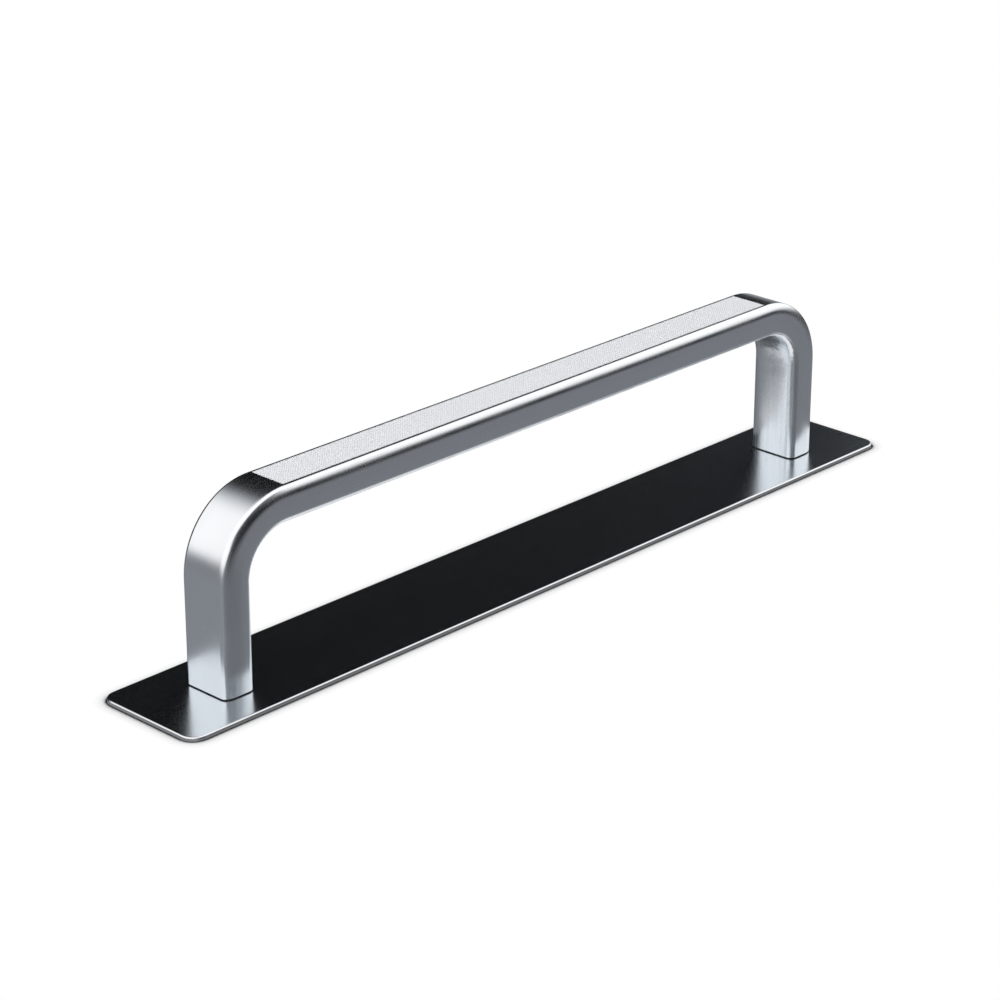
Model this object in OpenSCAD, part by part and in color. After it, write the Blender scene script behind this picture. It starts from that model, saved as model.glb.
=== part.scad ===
// Cabinet pull with a backplate.
// A flat bar is bent into a square arch and stands on a thin plate. Its outer edges fall
// away in soft shoulders, its inner edges are rounded for the fingers, and a knurled field
// is sunk in the flat of the grip. A screw from behind the door goes through the plate
// into each foot.
// Frame: origin in the middle of the plate's underside, +X along the grip, +Z away from
// the door. Lengths are in millimetres.

/* [Bar] */
// Distance between the two fixing screws
hole_spacing = 160; // [64:1:320]
// Height of the grip's outer face above the plate
reach = 36.7; // [28:0.1:60]
// Width of the bar, across the grip
bar_w = 11.3; // [8:0.1:16]
// Thickness of the bar, from outer face to inner face
bar_t = 7; // [6.4:0.1:9]
// Radius of the bends at the outer face
bend_r = 15.8; // [10:0.1:22]

/* [Bar edges] */
// Width of each shoulder, from the flat of the outer face to the side
shoulder_w = 1.35; // [1.15:0.05:1.7]
// How far each shoulder runs down the side of the bar
shoulder_drop = 2.4; // [1.8:0.1:3.2]
// Radius of the shoulder where it leaves the flat
shoulder_r = 1; // [0.6:0.05:1.1]
// Radius of the two edges that face the fingers
inner_r = 1.4; // [0.8:0.1:2]
// Height of the shadow line under each foot
foot_gap = 0.25; // [0.1:0.05:0.6]
// Depth of the shadow line
foot_inset = 0.35; // [0.1:0.05:0.6]

/* [Knurled field] */
// Plain strip between the field and the start of each bend
knurl_end = 0.45; // [0.1:0.05:10]
// Plain strip between the field and the shoulders
knurl_margin = 0.2; // [0.1:0.05:1.5]
// Depth of the field below the flat
knurl_depth = 0.2; // [0.1:0.05:0.4]

/* [Fixing] */
// Tapping diameter of the screw hole in each foot
tap_d = 3.3; // [2.5:0.1:3.6]
// Depth of the screw hole, without the drill's point
tap_depth = 14; // [8:1:16]
// Angle of the drill's point
drill_angle = 118; // [90:1:140]
// Diameter of the clearance holes in the plate
clearance_d = 4.5; // [4:0.1:6]

/* [Backplate] */
// How far the plate reaches past the handle at each end
plate_overhang = 14; // [8:0.5:30]
// Width of the plate
plate_w = 25; // [18:0.5:40]
// Thickness of the plate
plate_t = 0.8; // [0.6:0.1:3]
// Radius of the plate's corners
plate_corner_r = 3; // [1.5:0.1:8]
// Radius of the plate's upper edge
plate_edge_r = 0.35; // [0.1:0.05:0.5]

/* [Hidden] */
$fn = 96;
half_l = (hole_spacing + bar_t) / 2;
grip_z = plate_t + reach;
bend_x = half_l - bend_r;
bend_z = grip_z - bend_r;
flat_w = bar_w - 2 * shoulder_w;
knurl_l = 2 * (bend_x - knurl_end);
knurl_w = flat_w - 2 * knurl_margin;
plate_l = 2 * (half_l + plate_overhang);
// Each shoulder is two arcs. The second one is tangent to the first and to the side.
shoulder_r2 = (pow(shoulder_w, 2) + pow(shoulder_drop - shoulder_r, 2) - pow(shoulder_r, 2))
    / (2 * (shoulder_w - shoulder_r));
// The arcs meet on the line through their centres.
meet_angle = atan2(shoulder_r2 - shoulder_w, shoulder_drop - shoulder_r);
meet_x = -shoulder_r * (1 - cos(meet_angle));
// Extra length that lets a cut pass the face it starts from
past = 1;

// The bar's section: the outer face lies on x = 0, the inner face on x = -bar_t.
module bar_section() {
    inner_block();
    shoulder_side();
    shoulder_top();
}

// From the end of the shoulders to the inner face, with its two rounded edges
module inner_block() {
    side = bar_t - shoulder_drop;
    translate([-bar_t, inner_r - bar_w / 2]) square([side, bar_w - 2 * inner_r]);
    translate([inner_r - bar_t, -bar_w / 2]) square([side - inner_r, bar_w]);
    for (s = [-1, 1])
        translate([inner_r - bar_t, s * (bar_w / 2 - inner_r)]) circle(r = inner_r);
}

// Between the long arcs, from the sides up to where the arcs meet
module shoulder_side() {
    intersection() {
        translate([-shoulder_drop, -bar_w / 2]) square([shoulder_drop + meet_x, bar_w]);
        long_arc();
        mirror([0, 1]) long_arc();
    }
}

// All that lies inward of the long arc on the +Y side
module long_arc() {
    translate([-shoulder_drop, bar_w / 2 - shoulder_r2]) {
        circle(r = shoulder_r2, $fn = 360);
        translate([-shoulder_r2, -bar_w]) square([2 * shoulder_r2, bar_w]);
    }
}

// The short arcs and the flat between them
module shoulder_top() {
    intersection() {
        translate([meet_x, -bar_w / 2]) square([-meet_x, bar_w]);
        union() {
            translate([-bar_t, -flat_w / 2]) square([bar_t, flat_w]);
            for (s = [-1, 1])
                translate([-shoulder_r, s * flat_w / 2]) circle(r = shoulder_r);
        }
    }
}

// The straight stretch between the bends
module grip() {
    translate([bend_x, 0, grip_z])
        rotate([0, -90, 0])
            linear_extrude(height = 2 * bend_x) bar_section();
}

// A quarter turn at the +X end
module bend() {
    translate([bend_x, 0, bend_z])
        rotate([90, 0, 0])
            rotate_extrude(angle = 90) translate([bend_r, 0]) bar_section();
}

// The upright at the +X end, above its shadow line
module leg() {
    bottom = plate_t + foot_gap;
    translate([half_l, 0, bottom])
        linear_extrude(height = bend_z - bottom) bar_section();
}

// The narrower seat that leaves a shadow line between leg and plate
module foot() {
    l = bar_t - 2 * foot_inset;
    w = bar_w - 2 * foot_inset;
    translate([hole_spacing / 2, 0, plate_t])
        linear_extrude(height = foot_gap) rounded_rectangle(l, w, inner_r);
}

// The blind hole that the fixing screw is cut into, drilled up from the foot
module tapped_hole() {
    translate([hole_spacing / 2, 0, plate_t]) {
        translate([0, 0, -past]) cylinder(d = tap_d, h = tap_depth + past);
        translate([0, 0, tap_depth])
            cylinder(d1 = tap_d, d2 = 0, h = tap_d / 2 / tan(drill_angle / 2));
    }
}

// The sunk field that carries the knurling
module knurl_pocket() {
    translate([-knurl_l / 2, -knurl_w / 2, grip_z - knurl_depth])
        cube([knurl_l, knurl_w, knurl_depth + past]);
}

module both_ends() {
    children();
    mirror([1, 0, 0]) children();
}

module handle() {
    color("silver")
        difference() {
            union() {
                grip();
                both_ends() bend();
                both_ends() leg();
                both_ends() foot();
            }
            both_ends() tapped_hole();
            knurl_pocket();
        }
}

module rounded_rectangle(l, w, r) {
    square([l - 2 * r, w], center = true);
    square([l, w - 2 * r], center = true);
    for (sx = [-1, 1], sy = [-1, 1])
        translate([sx * (l / 2 - r), sy * (w / 2 - r)]) circle(r = r);
}

// Half of the plate's cross-section, from its middle to a rounded upper edge
module plate_profile(half) {
    square([half, plate_t - plate_edge_r]);
    square([half - plate_edge_r, plate_t]);
    translate([half - plate_edge_r, plate_t - plate_edge_r]) circle(r = plate_edge_r);
}

// A block l long whose long edges, w apart, are rounded on top
module edged_block(l, w) {
    rotate([90, 0, 90])
        linear_extrude(height = l, center = true) {
            plate_profile(w / 2);
            mirror([1, 0]) plate_profile(w / 2);
        }
}

module backplate() {
    inner_l = plate_l - 2 * plate_corner_r;
    inner_w = plate_w - 2 * plate_corner_r;
    color("silver")
        difference() {
            union() {
                edged_block(inner_l, plate_w);
                rotate([0, 0, 90]) edged_block(inner_w, plate_l);
                for (sx = [-1, 1], sy = [-1, 1])
                    translate([sx * inner_l / 2, sy * inner_w / 2, 0])
                        rotate_extrude() plate_profile(plate_corner_r);
            }
            both_ends() translate([hole_spacing / 2, 0, -past])
                cylinder(d = clearance_d, h = plate_t + 2 * past);
        }
}

handle();
backplate();
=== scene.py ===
"""Dresses the arched cabinet handle: satin metal, the knurled grip and a small photo studio.

Lengths are in metres, in the model's own frame: +X along the grip, +Z away from the door.
"""

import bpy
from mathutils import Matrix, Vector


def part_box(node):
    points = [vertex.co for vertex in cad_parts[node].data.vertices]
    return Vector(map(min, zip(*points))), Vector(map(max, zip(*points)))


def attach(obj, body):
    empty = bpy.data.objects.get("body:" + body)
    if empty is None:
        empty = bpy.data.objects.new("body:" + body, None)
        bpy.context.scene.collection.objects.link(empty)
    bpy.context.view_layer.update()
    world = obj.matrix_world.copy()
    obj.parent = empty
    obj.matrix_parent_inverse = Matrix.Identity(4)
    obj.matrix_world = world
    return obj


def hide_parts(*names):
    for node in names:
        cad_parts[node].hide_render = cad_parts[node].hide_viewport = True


bl_info = {
    "name": "Arched cabinet handle",
    "version": (1, 0, 0),
    "blender": (4, 5, 0),
    "location": "3D View > Sidebar > Handle",
    "description": "Metal finishes, knurling and studio for an arched cabinet handle on a backplate",
    "category": "Object",
}

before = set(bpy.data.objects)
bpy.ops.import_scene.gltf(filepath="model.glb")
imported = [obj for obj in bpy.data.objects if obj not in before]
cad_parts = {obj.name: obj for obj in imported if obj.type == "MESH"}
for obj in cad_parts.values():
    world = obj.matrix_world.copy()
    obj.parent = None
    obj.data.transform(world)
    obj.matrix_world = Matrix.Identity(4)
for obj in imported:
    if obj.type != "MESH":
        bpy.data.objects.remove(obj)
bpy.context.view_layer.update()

import math

import bpy
from bpy.props import (
    FloatProperty, FloatVectorProperty, IntProperty, PointerProperty,
)
from mathutils import Matrix, Vector

BAR_LOW, BAR_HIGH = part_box("handle")
PLATE_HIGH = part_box("backplate")[1]

# How finely the swept bar is divided
SHOULDER_STEPS = 12
SIDE_STEPS = 6
EDGE_STEPS = 14
FACE_STEPS = 8
LEG_STEPS = 6
BEND_STEPS = 40
# Height of the drill's point, as a share of the hole's radius
DRILL_POINT = 0.6

# Brightness of the light tent's parts
TENT_WHITE = 1.17
TENT_PALE = 0.95
TENT_GREY = 0.215
TENT_DARK = 0.08
# Tint of its darkest parts
COOL_SHADE = (0.9, 0.98, 1.1, 1)


class BarSizes(bpy.types.PropertyGroup):
    """Section of the bent bar, as in the solid that it stands for, and its plating"""

    thickness: FloatProperty(
        name="Thickness", description="From the outer face to the inner face",
        default=0.007, unit="LENGTH", precision=5,
    )
    bend_radius: FloatProperty(
        name="Bend radius", description="Radius of the bends at the outer face",
        default=0.0158, unit="LENGTH", precision=5,
    )
    shoulder_width: FloatProperty(
        name="Shoulder width", description="From the flat of the outer face to the side",
        default=0.00135, unit="LENGTH", precision=5,
    )
    shoulder_drop: FloatProperty(
        name="Shoulder drop", description="How far a shoulder runs down the side",
        default=0.0024, unit="LENGTH", precision=5,
    )
    shoulder_radius: FloatProperty(
        name="Shoulder radius", description="Radius of the shoulder where it leaves the flat",
        default=0.001, unit="LENGTH", precision=5,
    )
    inner_radius: FloatProperty(
        name="Inner edge radius", description="Radius of the two edges that face the fingers",
        default=0.0014, unit="LENGTH", precision=5,
    )
    inner_softness: FloatProperty(
        name="Inner softness",
        description="How far polishing has tilted the inner face at its long edges, in degrees",
        default=19, min=0, max=30,
    )
    side_softness: FloatProperty(
        name="Side softness",
        description="How far polishing has tilted the sides where they meet the inner edges, in degrees",
        default=1.5, min=0, max=30,
    )
    leg_softness: FloatProperty(
        name="Leg softness",
        description="How far polishing has tilted the sides of the legs outwards, in degrees",
        default=6, min=0, max=20,
    )
    foot_gap: FloatProperty(
        name="Shadow line", description="Height of the narrower seat under each foot",
        default=0.00025, unit="LENGTH", precision=5,
    )
    foot_inset: FloatProperty(
        name="Seat inset", description="How much narrower the seat is on each side",
        default=0.00035, unit="LENGTH", precision=5,
    )
    tap_radius: FloatProperty(
        name="Tapping radius", description="Radius of the screw hole in each foot",
        default=0.00165, unit="LENGTH", precision=5,
    )
    tap_depth: FloatProperty(
        name="Tapped depth", description="Depth of the screw hole, without the drill's point",
        default=0.014, unit="LENGTH",
    )
    colour: FloatVectorProperty(
        name="Colour", description="Colour of the plating", subtype="COLOR",
        size=3, min=0, max=1, default=(0.88, 0.895, 0.91),
    )
    roughness: FloatProperty(
        name="Roughness", description="Mean roughness of the plating",
        min=0.02, max=0.8, default=0.24, subtype="FACTOR",
    )


class KnurlSizes(bpy.types.PropertyGroup):
    """The field of fine teeth in the grip's outer face"""

    length: FloatProperty(
        name="Length", description="Length of the field along the grip",
        default=0.1345, unit="LENGTH",
    )
    width: FloatProperty(
        name="Width", description="Width of the field across the grip",
        default=0.0082, unit="LENGTH",
    )
    depth: FloatProperty(
        name="Depth", description="Height of the teeth, from the field's floor to the flat",
        default=0.00018, unit="LENGTH", precision=5,
    )
    border: FloatProperty(
        name="Border", description="Depth of the groove round the field, as a share of the teeth's height",
        min=0.1, max=1, default=0.5, subtype="FACTOR",
    )
    rows: IntProperty(
        name="Rows", description="Teeth across the grip", default=14, min=4, max=40,
    )
    columns: IntProperty(
        name="Columns", description="Teeth along the grip", default=230, min=20, max=600,
    )
    colour: FloatVectorProperty(
        name="Colour", description="Colour of the teeth", subtype="COLOR",
        size=3, min=0, max=1, default=(0.89, 0.9, 0.915),
    )
    crown: FloatProperty(
        name="Crown", description="Width of each tooth's flat top, as a share of the tooth",
        min=0, max=0.8, default=0.18, subtype="FACTOR",
    )
    roughness: FloatProperty(
        name="Roughness", description="Roughness of the teeth",
        min=0.02, max=1, default=0.68, subtype="FACTOR",
    )


class PlateFinish(bpy.types.PropertyGroup):
    """Polished, lightly brushed backplate"""

    colour: FloatVectorProperty(
        name="Colour", description="Colour of the plating", subtype="COLOR",
        size=3, min=0, max=1, default=(0.7, 0.75, 0.8),
    )
    # Painted highlight: a brighter, neutral colour on the plate's edge whitens its highlight and side
    # reflection
    painted_highlight_edge_colour: FloatVectorProperty(
        name="Edge colour", description="Colour of the plate's bare, polished edge", subtype="COLOR",
        size=3, min=0, max=1, default=(0.82, 0.81, 0.8),
    )
    roughness: FloatProperty(
        name="Roughness", description="Mean roughness of the plate",
        min=0.02, max=0.8, default=0.22, subtype="FACTOR",
    )


class StudioSetup(bpy.types.PropertyGroup):
    """Camera, light tent, table and lamp"""

    lens: FloatProperty(
        name="Lens", description="Focal length for a 36 mm wide image", default=109.965,
        min=20, max=300,
    )
    azimuth: FloatProperty(
        name="Azimuth", description="Turn of the camera about the vertical, from straight in front",
        default=math.radians(-46.385), subtype="ANGLE",
    )
    elevation: FloatProperty(
        name="Elevation", description="Height of the camera above the horizon, as an angle",
        default=math.radians(22.673), subtype="ANGLE",
    )
    roll: FloatProperty(
        name="Roll", description="Turn of the camera about its own axis",
        default=math.radians(0.097), subtype="ANGLE",
    )
    distance: FloatProperty(
        name="Distance", description="From the camera to the aim", default=0.592328, unit="LENGTH",
    )
    aim_height: FloatProperty(
        name="Aim height", description="Height of the aim above the table", default=0.02483, unit="LENGTH",
    )
    aim_right: FloatProperty(
        name="Aim to the right", description="How far the aim lies to the right of the handle's middle",
        default=-0.005029, unit="LENGTH",
    )
    aim_up: FloatProperty(
        name="Aim up", description="How far the aim lies above its height, in the picture",
        default=-0.010915, unit="LENGTH",
    )
    tent_radius: FloatProperty(
        name="Tent radius", description="Radius of the light tent", default=1.6, unit="LENGTH",
    )
    sky: FloatProperty(
        name="Daylight", description="Strength of the even light all round", default=0.75, min=0, max=2,
    )
    lamp_watts: FloatProperty(
        name="Lamp", description="Power of the soft lamp overhead", default=2.2, unit="POWER",
    )


# Node trees


def new_tree(material):
    """The emptied node tree of a material or a world."""
    material.use_nodes = True
    material.node_tree.nodes.clear()
    return material.node_tree


def put(tree, kind, **settings):
    """A new node. A setting named in_X sets the input X; any other one sets the node itself."""
    node = tree.nodes.new(kind)
    for key, value in settings.items():
        if key.startswith("in_"):
            node.inputs[key[3:].replace("_", " ")].default_value = value
        else:
            setattr(node, key, value)
    return node


def wire(tree, source, target):
    tree.links.new(source, target)
    return target


def calculate(tree, operation, a, b):
    """A Math node on two sockets or numbers; gives its result's socket."""
    node = put(tree, "ShaderNodeMath", operation=operation)
    for socket, value in zip(node.inputs, (a, b)):
        if isinstance(value, (int, float)):
            socket.default_value = value
        else:
            wire(tree, value, socket)
    return node.outputs[0]


def remap(tree, value, low, high, to_low, to_high, smooth=False):
    """A socket's value carried from one range to another, and held at its ends."""
    node = put(tree, "ShaderNodeMapRange")
    node.interpolation_type = "SMOOTHSTEP" if smooth else "LINEAR"
    wire(tree, value, node.inputs["Value"])
    for name, number in (("From Min", low), ("From Max", high), ("To Min", to_low), ("To Max", to_high)):
        node.inputs[name].default_value = number
    return node.outputs["Result"]


def noise(tree, vector, scale, detail=3.0, roughness=0.5):
    node = put(tree, "ShaderNodeTexNoise", in_Scale=scale, in_Detail=detail, in_Roughness=roughness)
    wire(tree, vector, node.inputs["Vector"])
    return node.outputs["Fac"]


def metal(tree, colour, roughness, height, bump_depth):
    """A bare metal with its roughness and bump from sockets."""
    shader = put(tree, "ShaderNodeBsdfPrincipled", in_Metallic=1.0)
    shader.inputs["Base Color"].default_value = (*colour, 1)
    bump = put(tree, "ShaderNodeBump", in_Strength=1.0, in_Distance=bump_depth)
    out = put(tree, "ShaderNodeOutputMaterial")
    wire(tree, roughness, shader.inputs["Roughness"])
    wire(tree, height, bump.inputs["Height"])
    wire(tree, bump.outputs["Normal"], shader.inputs["Normal"])
    wire(tree, shader.outputs["BSDF"], out.inputs["Surface"])
    return shader


def stretched(tree, vector, scale):
    node = put(tree, "ShaderNodeMapping")
    node.inputs["Scale"].default_value = scale
    wire(tree, vector, node.inputs["Vector"])
    return node.outputs[0]


def axis_of(tree, vector, axis):
    """One coordinate of a vector: 0 for X, 1 for Y, 2 for Z."""
    split = put(tree, "ShaderNodeSeparateXYZ")
    wire(tree, vector, split.inputs[0])
    return split.outputs[axis]


def mix_colours(tree, share, first, second):
    """The first colour where the share is 0, the second where it is 1."""
    node = put(tree, "ShaderNodeMix", data_type="RGBA")
    wire(tree, share, node.inputs["Factor"])
    ends = [socket for socket in node.inputs if socket.type == "RGBA"]
    for socket, colour in zip(ends, (first, second)):
        socket.default_value = (*colour, 1)
    return next(socket for socket in node.outputs if socket.type == "RGBA")


def bar_metal(finish):
    """Satin plating: fine lines along the bar, stronger and coarser on the face towards the fingers.

    Scales are in waves per metre: along the bar, across it and through it.
    """
    fine_lines, coarse_lines = (40, 3000, 3000), (25, 900, 300)
    crease_scale, cloud_scale = (330, 260, 100), 110
    line_height, coarse_height, crease_height, bump_depth = 0.03, 1.2, 18, 0.00001
    inner_start, inner_full = 0.0008 - finish.thickness, 0.0002 - finish.thickness
    crease_start, crease_full = 0.014, 0.026

    tree = new_tree(material := bpy.data.materials.new("bar_plating"))
    place = put(tree, "ShaderNodeAttribute", attribute_name="bar_place").outputs["Vector"]
    inside = remap(tree, axis_of(tree, place, 2), inner_start, inner_full, 0, 1, smooth=True)
    fine = noise(tree, stretched(tree, place, fine_lines), 1.0, 4.0, 0.6)
    coarse = noise(tree, stretched(tree, place, coarse_lines), 1.0, 3.0, 0.6)
    clouds = noise(tree, place, cloud_scale, 2.0)

    plain = calculate(
        tree, "ADD", remap(tree, fine, 0.3, 0.7, -0.02, 0.02), remap(tree, clouds, 0.3, 0.7, -0.025, 0.025),
    )
    streaks = calculate(tree, "MULTIPLY", remap(tree, coarse, 0.3, 0.7, -0.05, 0.1), inside)
    roughness = calculate(tree, "ADD", calculate(tree, "ADD", plain, streaks), finish.roughness)

    height_above_door = axis_of(tree, put(tree, "ShaderNodeTexCoord").outputs["Object"], 2)
    upper = remap(tree, height_above_door, crease_start, crease_full, 0.1, 1, smooth=True)
    creases = calculate(tree, "MULTIPLY", noise(tree, stretched(tree, place, crease_scale), 1.0, 2.0), upper)
    rough_side = calculate(
        tree, "ADD", calculate(tree, "MULTIPLY", coarse, coarse_height),
        calculate(tree, "MULTIPLY", creases, crease_height),
    )
    height = calculate(
        tree, "ADD", calculate(tree, "MULTIPLY", fine, line_height),
        calculate(tree, "MULTIPLY", rough_side, inside),
    )
    metal(tree, finish.colour, roughness, height, bump_depth)
    return material


def painted_shade_recess_metal():
    """Metal of the seats and screw holes, painted dark as shade for the shadow line under each foot, with the
    drill's rings
    """
    # Painted shade: this dark colour stands in for the shade in the seats and holes
    colour, ring_scale, bump_depth = (0.1, 0.1, 0.105), (300, 300, 9000), 0.00001
    tree = new_tree(material := bpy.data.materials.new("recess_painted_shade"))
    place = put(tree, "ShaderNodeTexCoord").outputs["Object"]
    rings = noise(tree, stretched(tree, place, ring_scale), 1.0, 2.0)
    metal(tree, colour, remap(tree, rings, 0, 1, 0.35, 0.6), rings, bump_depth)
    return material


def knurl_metal(knurl):
    """Dull plating of the teeth, with a fine grain"""
    grain_scale, grain_spread, bump_depth = 9000, 0.06, 0.000004
    tree = new_tree(material := bpy.data.materials.new("knurl_plating"))
    place = put(tree, "ShaderNodeTexCoord").outputs["Object"]
    grain = noise(tree, place, grain_scale, 2.0)
    roughness = remap(tree, grain, 0, 1, knurl.roughness - grain_spread, knurl.roughness + grain_spread)
    metal(tree, knurl.colour, roughness, grain, bump_depth)
    return material


def plate_metal(finish):
    """Polished plate, lightly brushed lengthwise, with a brighter colour painted on its edge as highlight"""
    line_scale, grain_scale, spread, bump_depth = (60, 2200, 2200), 5000, 0.03, 0.000002
    edge_start, edge_full = 0.00001, 0.00006
    tree = new_tree(material := bpy.data.materials.new("plate_plating"))
    place = put(tree, "ShaderNodeTexCoord").outputs["Object"]
    lines = noise(tree, stretched(tree, place, line_scale), 1.0, 4.0, 0.6)
    height = calculate(tree, "ADD", lines, noise(tree, place, grain_scale, 2.0))
    roughness = remap(tree, height, 0.4, 1.6, finish.roughness - spread, finish.roughness + spread)
    shader = metal(tree, finish.colour, roughness, height, bump_depth)
    # Painted highlight: below the top face, the edge takes the brighter edge colour
    edge = remap(
        tree, axis_of(tree, place, 2), PLATE_HIGH.z - edge_start, PLATE_HIGH.z - edge_full, 0, 1, smooth=True,
    )
    wire(tree, mix_colours(tree, edge, finish.colour, finish.painted_highlight_edge_colour), shader.inputs["Base Color"])
    return material


# Bar


class Piece:
    """Points and faces gathered with a normal for each corner"""

    def __init__(self):
        self.points, self.places, self.faces, self.normals, self.finish = [], [], [], [], []

    def point(self, where, place=(0, 0, 0)):
        self.points.append(tuple(where))
        self.places.append(tuple(place))
        return len(self.points) - 1

    def face(self, corners, normals=None, finish=0):
        if normals is None:
            a, b, c = (Vector(self.points[i]) for i in corners[:3])
            flat = (b - a).cross(c - a).normalized()
            normals = [flat] * len(corners)
        self.faces.append(list(corners))
        self.normals.extend(tuple(n) for n in normals)
        self.finish.append(finish)

    def band(self, low, high, normals=None, finish=0, skip=()):
        """Faces between two closed rings of as many points, with a list of normals for each ring."""
        count = len(low)
        for i in range(count):
            if i in skip:
                continue
            j = (i + 1) % count
            around = normals and [normals[0][i], normals[1][i], normals[1][j], normals[0][j]]
            self.face((low[i], high[i], high[j], low[j]), around, finish)

    def mesh(self, name, materials):
        mesh = bpy.data.meshes.new(name)
        mesh.from_pydata(self.points, [], self.faces)
        for material in materials:
            mesh.materials.append(material)
        mesh.polygons.foreach_set("material_index", self.finish)
        mesh.polygons.foreach_set("use_smooth", [True] * len(self.faces))
        place = mesh.attributes.new("bar_place", "FLOAT_VECTOR", "POINT")
        place.data.foreach_set("vector", [c for p in self.places for c in p])
        mesh.normals_split_custom_set(self.normals)
        mesh.update()
        return mesh


def bar_section(bar, field_width):
    """Half of the bar's section, from the middle of the outer face round to the middle of the inner face.

    Each point is (across, through, normal across, normal through), with the outer face at 0 and the inner one
    at -thickness.
    """
    half = (BAR_HIGH.y - BAR_LOW.y) / 2
    wide, drop, small, edge = bar.shoulder_width, bar.shoulder_drop, bar.shoulder_radius, bar.inner_radius
    large = (wide ** 2 + (drop - small) ** 2 - small ** 2) / (2 * (wide - small))
    meet = math.atan2(large - wide, drop - small)
    quarter = math.pi / 2
    section = [(0, 0, 0, 1), (field_width / 2, 0, 0, 1)]

    def arc(across, through, radius, start, stop):
        for i in range(SHOULDER_STEPS + 1):
            t = start + (stop - start) * i / SHOULDER_STEPS
            s, c = math.sin(t), math.cos(t)
            section.append((across + radius * s, through + radius * c, s, c))

    arc(half - wide, -small, small, 0, meet)
    section.pop()
    arc(half - large, -drop, large, meet, quarter)
    side_tilt, inner_tilt = math.radians(bar.side_softness), math.radians(bar.inner_softness)
    for i in range(1, SIDE_STEPS):
        share = i / SIDE_STEPS
        tilt = quarter + side_tilt * share ** 2
        depth = drop + (bar.thickness - edge - drop) * share
        section.append((half, -depth, math.sin(tilt), math.cos(tilt)))
    for i in range(EDGE_STEPS + 1):
        share = i / EDGE_STEPS
        t = quarter * (1 + share)
        tilt = quarter + side_tilt + (quarter - side_tilt - inner_tilt) * share
        across, through = half - edge + edge * math.sin(t), edge - bar.thickness + edge * math.cos(t)
        section.append((across, through, math.sin(tilt), math.cos(tilt)))
    fade = 2.2
    for i in range(FACE_STEPS - 1, -1, -1):
        share = i / FACE_STEPS
        tilt = inner_tilt * share ** fade
        section.append(((half - edge) * share, -bar.thickness, math.sin(tilt), -math.cos(tilt)))
    return section


def bar_stations(bar, field_length):
    """Where the section is swept through, as (point of the outer face, outward direction, distance along)."""
    radius = bar.bend_radius
    bend_x, bend_z = BAR_HIGH.x - radius, BAR_HIGH.z - radius
    foot = PLATE_HIGH.z + bar.foot_gap
    leg = bend_z - foot
    bend = math.pi / 2 * (radius - bar.thickness / 2)
    stations = []
    for i in range(LEG_STEPS + 1):
        up = leg * i / LEG_STEPS
        stations.append((Vector((BAR_LOW.x, 0, foot + up)), Vector((-1, 0, 0)), up))
    for i in range(1, BEND_STEPS + 1):
        t = math.pi / 2 * i / BEND_STEPS
        out = Vector((-math.cos(t), 0, math.sin(t)))
        stations.append((Vector((-bend_x, 0, bend_z)) + radius * out, out, leg + bend * i / BEND_STEPS))
    for x in (-field_length / 2, 0):
        stations.append((Vector((x, 0, BAR_HIGH.z)), Vector((0, 0, 1)), leg + bend + bend_x + x))
    whole = 2 * stations[-1][2]
    for where, out, along in reversed(stations[:-1]):
        stations.append((Vector((-where.x, 0, where.z)), Vector((-out.x, 0, out.z)), whole - along))
    return stations


def seat_outline(half_x, half_y, radius, turn):
    """The point where a ray from the middle, at that turn, meets a rectangle with rounded corners."""
    c, s = abs(math.cos(turn)), abs(math.sin(turn))
    reach = min(half_x / max(c, 1e-9), half_y / max(s, 1e-9))
    corner_x, corner_y = half_x - radius, half_y - radius
    if reach * c > corner_x and reach * s > corner_y:
        along = c * corner_x + s * corner_y
        reach = along + math.sqrt(max(along ** 2 - corner_x ** 2 - corner_y ** 2 + radius ** 2, 0))
    return reach * math.cos(turn), reach * math.sin(turn)


def add_foot(piece, ring, side, bar):
    """Closes a leg's end with its narrower seat and the blind hole for the screw."""
    middle = side * (BAR_HIGH.x - bar.thickness / 2)
    half_x, half_y = bar.thickness / 2 - bar.foot_inset, (BAR_HIGH.y - BAR_LOW.y) / 2 - bar.foot_inset
    gap_z, seat_z = PLATE_HIGH.z + bar.foot_gap, PLATE_HIGH.z
    hole_z = seat_z + bar.tap_depth
    turns = [math.atan2(piece.points[i][1], piece.points[i][0] - middle) for i in ring]
    seat = [seat_outline(half_x, half_y, bar.inner_radius, turn) for turn in turns]
    hole = [(bar.tap_radius * math.cos(turn), bar.tap_radius * math.sin(turn)) for turn in turns]

    def outline(shape, z):
        return [piece.point((middle + x, y, z)) for x, y in shape]

    rings = [ring, outline(seat, gap_z), outline(seat, seat_z), outline(hole, seat_z), outline(hole, hole_z)]
    for low, high in zip(rings, rings[1:]):
        piece.band(high, low, finish=1)
    tip = piece.point((middle, 0, hole_z + bar.tap_radius * DRILL_POINT))
    for i, start in enumerate(rings[-1]):
        piece.face((start, rings[-1][(i + 1) % len(turns)], tip), finish=1)


def leg_tilt(bar, through):
    """Tilt of the normal at a depth below a leg's outer face: most where the shoulder ends."""
    rising = smooth(0, bar.shoulder_drop, -through)
    falling = 1 - smooth(bar.shoulder_drop, bar.thickness - bar.inner_radius, -through)
    return math.radians(bar.leg_softness) * rising * falling


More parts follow.
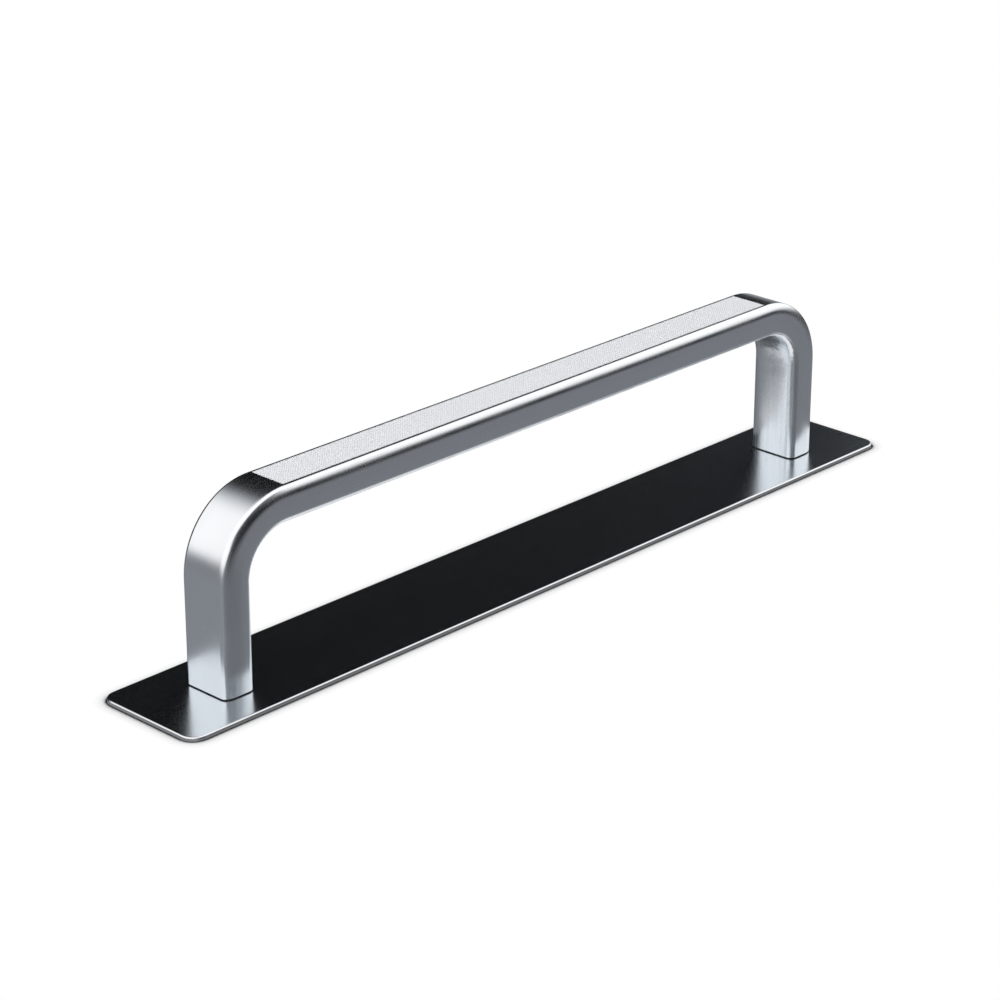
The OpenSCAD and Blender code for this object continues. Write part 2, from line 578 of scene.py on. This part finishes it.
def bar_mesh(bar, knurl):
    """The bar swept along its arch, open only where the knurled field goes."""
    half = bar_section(bar, knurl.width)
    section = half + [(-a, t, -na, nt) for a, t, na, nt in reversed(half[1:-1])]
    count = len(section)
    piece, rings, turned = Piece(), [], []
    for where, out, along in bar_stations(bar, knurl.length):
        ring, normals = [], []
        upright = 1 - smooth(0, 0.6, out.z)
        for across, through, out_y, out_t in section:
            ring.append(piece.point(where + Vector((0, across, 0)) + out * through, (along, across, through)))
            tilt = math.copysign(leg_tilt(bar, through) * upright, out_y)
            c, s = math.cos(tilt), math.sin(tilt)
            normals.append(Vector((0, out_y * c - out_t * s, 0)) + out * (out_t * c + out_y * s))
        rings.append(ring)
        turned.append(normals)
    middle = len(rings) // 2
    field = {0, count - 1}
    for i in range(len(rings) - 1):
        skip = field if i in (middle - 1, middle) else ()
        piece.band(rings[i], rings[i + 1], (turned[i], turned[i + 1]), skip=skip)
    add_foot(piece, rings[0], -1, bar)
    add_foot(piece, rings[-1][::-1], 1, bar)
    # The seats and holes take the metal painted dark as shade
    return piece.mesh("bar", [bar_metal(bar), painted_shade_recess_metal()])


# Knurling


def knurl_mesh(sizes, top):
    """Rows of small pyramids with flat tops, side by side over the whole field, and the field's walls."""
    step_x = sizes.length / sizes.columns
    step_y = sizes.width / sizes.rows
    floor = top - sizes.depth
    inset = (1 - sizes.crown) / 2
    groove = top - sizes.depth * sizes.border
    points, faces = [], []
    wide = sizes.rows + 1
    for i in range(sizes.columns + 1):
        for j in range(wide):
            z = groove if i in (0, sizes.columns) or j in (0, sizes.rows) else floor
            points.append((i * step_x - sizes.length / 2, j * step_y - sizes.width / 2, z))
    for i in range(sizes.columns):
        for j in range(sizes.rows):
            base = [i * wide + j, (i + 1) * wide + j, (i + 1) * wide + j + 1, i * wide + j + 1]
            first = len(points)
            for u, v in ((inset, inset), (1 - inset, inset), (1 - inset, 1 - inset), (inset, 1 - inset)):
                points.append(((i + u) * step_x - sizes.length / 2, (j + v) * step_y - sizes.width / 2, top))
            crown = list(range(first, first + 4))
            faces.append(crown)
            for a in range(4):
                b = (a + 1) % 4
                faces.append([base[a], base[b], crown[b], crown[a]])
    x, y = sizes.length / 2, sizes.width / 2
    corners = [(-x, -y), (x, -y), (x, y), (-x, y)]
    first = len(points)
    points += [(*c, groove) for c in corners] + [(*c, top) for c in corners]
    for a in range(4):
        b = (a + 1) % 4
        faces.append([first + b, first + a, first + 4 + a, first + 4 + b])
    mesh = bpy.data.meshes.new("knurling")
    mesh.from_pydata(points, [], faces)
    mesh.update()
    return mesh


# Studio


def smooth(low, high, value):
    t = min(max((value - low) / (high - low), 0), 1)
    return t * t * (3 - 2 * t)


def span(value, start, full, fading, end):
    """1 from full to fading, with soft edges out to start and end"""
    return smooth(start, full, value) * (1 - smooth(fading, end, value))


def blend(first, second, share):
    return first + (second - first) * share


def tent_sky(way, turn, rise):
    """White, with a black card behind the handle that leans over it, and a dark column in front."""
    x, y, z = way
    lean = math.degrees(math.atan2(-x, z))
    over = smooth(18.5, 34, turn) * (1 - smooth(-22, 24, lean)) if z > 0 else 0
    upright = smooth(0.72, 0.84, y) * smooth(-20, -10, rise)
    card = max(over, upright)
    widening = 20 * smooth(12, 24, rise)
    column = span(turn, -120 - widening, -102 - widening, -62, -51) * (1 - smooth(25, 44, rise))
    return TENT_WHITE * (1 - 0.999 * card) * (1 - 0.96 * column)


def tent_ground(turn, rise, facing, behind):
    """Grey, with a dark rim below the horizon, and paler straight down and just beyond the handle."""
    post = span(turn, -122, -102, -62, -44)
    grey = (TENT_GREY + 0.04 * behind + 0.04 * facing) * (1 - 0.27 * post)
    steep = 1 - smooth(-46, -35, rise)
    away = span(turn, 30, 60, 112, 128)
    grey += (TENT_PALE - grey) * steep * (1 - away) * (1 - behind) + (TENT_DARK - grey) * steep * away
    rim = smooth(-14.5, -4.5, rise) * (1 - facing) * (1 - 0.8 * behind)
    beyond = span(turn, 30, 42, 48, 56) * smooth(-18, -11, rise)
    return blend(grey * (1 - 0.975 * rim), TENT_PALE, beyond)


def tent_tone(way):
    """Brightness of the tent in one direction, as the metal sees it.

    Angles are in degrees. A turn is about the vertical, from +X towards +Y. A rise is above the horizon, and
    a lean is from straight up towards -X. The horizon's height differs in front, behind and at the left end.
    """
    x, y, z = way
    turn = math.degrees(math.atan2(y, x))
    rise = math.degrees(math.asin(max(-1, min(1, z))))
    facing = span(turn, -178, -150, -112, -94)
    behind = smooth(95, 130, turn) if turn > -150 else 1 - smooth(-178, -150, turn)
    horizon = blend(13.5, 4, smooth(-50, -42, turn))
    horizon += (5 - horizon) * behind - horizon * facing
    above = smooth(horizon - 4.5, horizon + 4.5, rise)
    return blend(tent_ground(turn, rise, facing, behind), tent_sky(way, turn, rise), above)


def tone_material(name):
    """Glows with the sheet's own brightness, cooler where it is dark, and is clear where its cover is 0."""
    tree = new_tree(material := bpy.data.materials.new(name))
    tone = put(tree, "ShaderNodeAttribute", attribute_name="tone").outputs["Vector"]
    brightness, cover = axis_of(tree, tone, 0), axis_of(tree, tone, 1)
    tint = put(tree, "ShaderNodeValToRGB")
    for stop, colour in zip(tint.color_ramp.elements, (COOL_SHADE, (1, 1, 1, 1))):
        stop.color = colour
    wire(tree, brightness, tint.inputs[0])
    light = put(tree, "ShaderNodeEmission")
    wire(tree, tint.outputs[0], light.inputs["Color"])
    wire(tree, brightness, light.inputs["Strength"])
    mix = put(tree, "ShaderNodeMixShader")
    wire(tree, cover, mix.inputs[0])
    wire(tree, put(tree, "ShaderNodeBsdfTransparent").outputs[0], mix.inputs[1])
    wire(tree, light.outputs[0], mix.inputs[2])
    out = put(tree, "ShaderNodeOutputMaterial")
    wire(tree, mix.outputs[0], out.inputs["Surface"])
    return material


def toned_sheet(name, points, faces, tones):
    """A stage sheet that only metal sees. Each point has its own (brightness, cover)."""
    mesh = bpy.data.meshes.new(name)
    mesh.from_pydata(points, [], faces)
    tone = mesh.attributes.new("tone", "FLOAT_VECTOR", "POINT")
    tone.data.foreach_set("vector", [c for brightness, cover in tones for c in (brightness, cover, 0)])
    mesh.materials.append(tone_material(name))
    sheet = bpy.data.objects.new(name, mesh)
    bpy.context.scene.collection.objects.link(sheet)
    sheet.visible_camera = sheet.visible_diffuse = sheet.visible_shadow = False
    sheet.visible_transmission = sheet.visible_volume_scatter = False
    return sheet


def grid_faces(rows, columns):
    return [
        [i * columns + j, i * columns + j + 1, (i + 1) * columns + j + 1, (i + 1) * columns + j]
        for i in range(rows - 1) for j in range(columns - 1)
    ]


def seen_directly(tree):
    """1 for a ray from the camera or off gloss or through glass, 0 for one that only lights."""
    path = put(tree, "ShaderNodeLightPath")
    return calculate(
        tree, "MAXIMUM", path.outputs["Is Camera Ray"],
        calculate(tree, "MAXIMUM", path.outputs["Is Glossy Ray"], path.outputs["Is Transmission Ray"]),
    )


def make_table():
    """A white table with a painted contact shadow round the plate: its glow is dimmed where ambient occlusion
    finds the plate near.
    """
    side, painted_shadow_width = 3, 0.0026
    mesh = bpy.data.meshes.new("table")
    corners = [(-side, -side, 0), (side, -side, 0), (side, side, 0), (-side, side, 0)]
    mesh.from_pydata(corners, [], [[0, 1, 2, 3]])
    tree = new_tree(material := bpy.data.materials.new("table_paper_with_painted_shadow"))
    # Painted contact shadow: ambient occlusion dims the table's glow near the plate, without any light being
    # blocked
    shade = put(tree, "ShaderNodeAmbientOcclusion", in_Distance=painted_shadow_width, samples=8)
    painted_contact_shadow = remap(tree, shade.outputs["AO"], 0.74, 0.97, 0.0, 1.0, smooth=True)
    seen = put(tree, "ShaderNodeEmission")
    wire(tree, painted_contact_shadow, seen.inputs["Strength"])
    paper = put(tree, "ShaderNodeBsdfDiffuse")
    paper.inputs["Color"].default_value = (0.8, 0.8, 0.8, 1)
    mix = put(tree, "ShaderNodeMixShader")
    wire(tree, seen_directly(tree), mix.inputs[0])
    wire(tree, paper.outputs[0], mix.inputs[1])
    wire(tree, seen.outputs[0], mix.inputs[2])
    out = put(tree, "ShaderNodeOutputMaterial")
    wire(tree, mix.outputs[0], out.inputs["Surface"])
    mesh.materials.append(material)
    table = bpy.data.objects.new("table", mesh)
    bpy.context.scene.collection.objects.link(table)
    table.visible_glossy = False


def make_tent(radius):
    """A sphere round the handle, toned by direction."""
    rows, columns = 121, 241
    points, tones = [], []
    for i in range(rows):
        rise = math.radians(180 * i / (rows - 1) - 90)
        for j in range(columns):
            turn = 2 * math.pi * j / (columns - 1)
            way = (math.cos(rise) * math.cos(turn), math.cos(rise) * math.sin(turn), math.sin(rise))
            points.append([radius * c for c in way])
            tones.append((tent_tone(way), 1))
    toned_sheet("light_tent", points, grid_faces(rows, columns), tones)


def make_table_glow():
    """The light patch of table behind the plate that the inside of the right leg sees."""
    rows, columns = 31, 41
    left, near, length, width, height, tone = 0.012, 0.0105, 0.06, 0.036, 0.0003, 0.7
    points, tones = [], []
    for i in range(rows):
        for j in range(columns):
            x, y = left + length * j / (columns - 1), near + width * i / (rows - 1)
            cover = span(x, left, 0.03, 0.06, 0.07) * (1 - smooth(0.011, 0.035, y))
            points.append((x, y, height))
            tones.append((tone, cover))
    toned_sheet("table_glow", points, grid_faces(rows, columns), tones)


def make_world(strength):
    """White where it is seen, and an even light of the given strength for the rest."""
    world = bpy.data.worlds.new("studio")
    bpy.context.scene.world = world
    tree = new_tree(world)
    light = put(tree, "ShaderNodeBackground")
    wire(tree, remap(tree, seen_directly(tree), 0, 1, strength, 1.0), light.inputs["Strength"])
    light.inputs["Color"].default_value = (1, 1, 1, 1)
    out = put(tree, "ShaderNodeOutputWorld")
    wire(tree, light.outputs[0], out.inputs["Surface"])


def make_lamp(watts):
    """A large soft lamp above the table, in front at the left."""
    light = bpy.data.lights.new("soft_lamp", "AREA")
    light.shape = "SQUARE"
    light.size = 0.8
    light.energy = watts
    lamp = bpy.data.objects.new("soft_lamp", light)
    lamp.location = (-0.25, -0.35, 0.9)
    lamp.rotation_euler = (Vector((0, 0, 0)) - lamp.location).to_track_quat("-Z", "Y").to_euler()
    lamp.visible_glossy = False
    bpy.context.scene.collection.objects.link(lamp)


def make_camera(setup):
    """The camera at the photograph's angle, distance and lens."""
    a, e, r = setup.azimuth, setup.elevation, setup.roll
    back = Vector((math.sin(a) * math.cos(e), -math.cos(a) * math.cos(e), math.sin(e)))
    right = Vector((math.cos(a), math.sin(a), 0))
    up = back.cross(right)
    aim = Vector((0, 0, setup.aim_height)) + setup.aim_right * right + setup.aim_up * up
    turned_right = math.cos(r) * right + math.sin(r) * up
    turned_up = math.cos(r) * up - math.sin(r) * right
    lens = bpy.data.cameras.new("photo_camera")
    lens.sensor_width = 36
    lens.sensor_fit = "HORIZONTAL"
    lens.lens = setup.lens
    lens.clip_start = 0.01
    lens.clip_end = 20
    camera = bpy.data.objects.new("photo_camera", lens)
    camera.matrix_world = Matrix((
        (turned_right.x, turned_up.x, back.x, 0),
        (turned_right.y, turned_up.y, back.y, 0),
        (turned_right.z, turned_up.z, back.z, 0),
        (0, 0, 0, 1),
    ))
    camera.location = aim + back * setup.distance
    bpy.context.scene.collection.objects.link(camera)
    bpy.context.scene.camera = camera


# Operators and panel


def dress(node, material):
    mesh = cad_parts[node].data
    if not mesh.materials:
        raise RuntimeError(f"{node} has no material slot")
    for i in range(len(mesh.materials)):
        mesh.materials[i] = material


class HANDLE_OT_bar(bpy.types.Operator):
    """Sweep the bent bar with its soft shoulders, and plate it"""

    bl_idname = "handle.bar"
    bl_label = "Build the bar"

    def execute(self, context):
        mesh = bar_mesh(context.scene.handle_bar, context.scene.handle_knurl)
        bar = bpy.data.objects.new("bar", mesh)
        context.scene.collection.objects.link(bar)
        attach(bar, "root")
        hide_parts("handle")
        return {"FINISHED"}


class HANDLE_OT_knurling(bpy.types.Operator):
    """Cut the fine teeth into the field on the grip"""

    bl_idname = "handle.knurling"
    bl_label = "Knurl the grip"

    def execute(self, context):
        sizes = context.scene.handle_knurl
        mesh = knurl_mesh(sizes, BAR_HIGH.z)
        mesh.materials.append(knurl_metal(sizes))
        teeth = bpy.data.objects.new("knurling", mesh)
        context.scene.collection.objects.link(teeth)
        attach(teeth, "root")
        return {"FINISHED"}


class HANDLE_OT_plate(bpy.types.Operator):
    """Give the backplate its polish"""

    bl_idname = "handle.plate"
    bl_label = "Polish the backplate"

    def execute(self, context):
        dress("backplate", plate_metal(context.scene.handle_plate))
        return {"FINISHED"}


class HANDLE_OT_studio(bpy.types.Operator):
    """Set up the table, the light tent, the lamp and the camera"""

    bl_idname = "handle.studio"
    bl_label = "Build the studio"

    def execute(self, context):
        setup = context.scene.handle_studio
        context.scene.view_settings.view_transform = "Standard"
        make_world(setup.sky)
        make_table()
        make_tent(setup.tent_radius)
        make_table_glow()
        make_lamp(setup.lamp_watts)
        make_camera(setup)
        return {"FINISHED"}


class HANDLE_PT_sidebar(bpy.types.Panel):
    """Sizes and finishes of the handle"""

    bl_label = "Arched handle"
    bl_idname = "HANDLE_PT_sidebar"
    bl_space_type = "VIEW_3D"
    bl_region_type = "UI"
    bl_category = "Handle"

    def draw(self, context):
        for operator, group in STEPS:
            box = self.layout.box()
            box.operator(operator)
            settings = getattr(context.scene, group)
            for name in settings.bl_rna.properties.keys():
                if name not in ("rna_type", "name"):
                    box.prop(settings, name)


GROUPS = {
    "handle_bar": BarSizes,
    "handle_knurl": KnurlSizes,
    "handle_plate": PlateFinish,
    "handle_studio": StudioSetup,
}
STEPS = (
    ("handle.bar", "handle_bar"),
    ("handle.knurling", "handle_knurl"),
    ("handle.plate", "handle_plate"),
    ("handle.studio", "handle_studio"),
)
CLASSES = (
    *GROUPS.values(),
    HANDLE_OT_bar, HANDLE_OT_knurling, HANDLE_OT_plate, HANDLE_OT_studio, HANDLE_PT_sidebar,
)


def register():
    for item in CLASSES:
        bpy.utils.register_class(item)
    for name, group in GROUPS.items():
        setattr(bpy.types.Scene, name, PointerProperty(type=group))


def unregister():
    for name in GROUPS:
        delattr(bpy.types.Scene, name)
    for item in reversed(CLASSES):
        bpy.utils.unregister_class(item)


def main():
    register()
    bpy.ops.handle.bar()
    bpy.ops.handle.knurling()
    bpy.ops.handle.plate()
    bpy.ops.handle.studio()


if __name__ == "__main__":
    main()
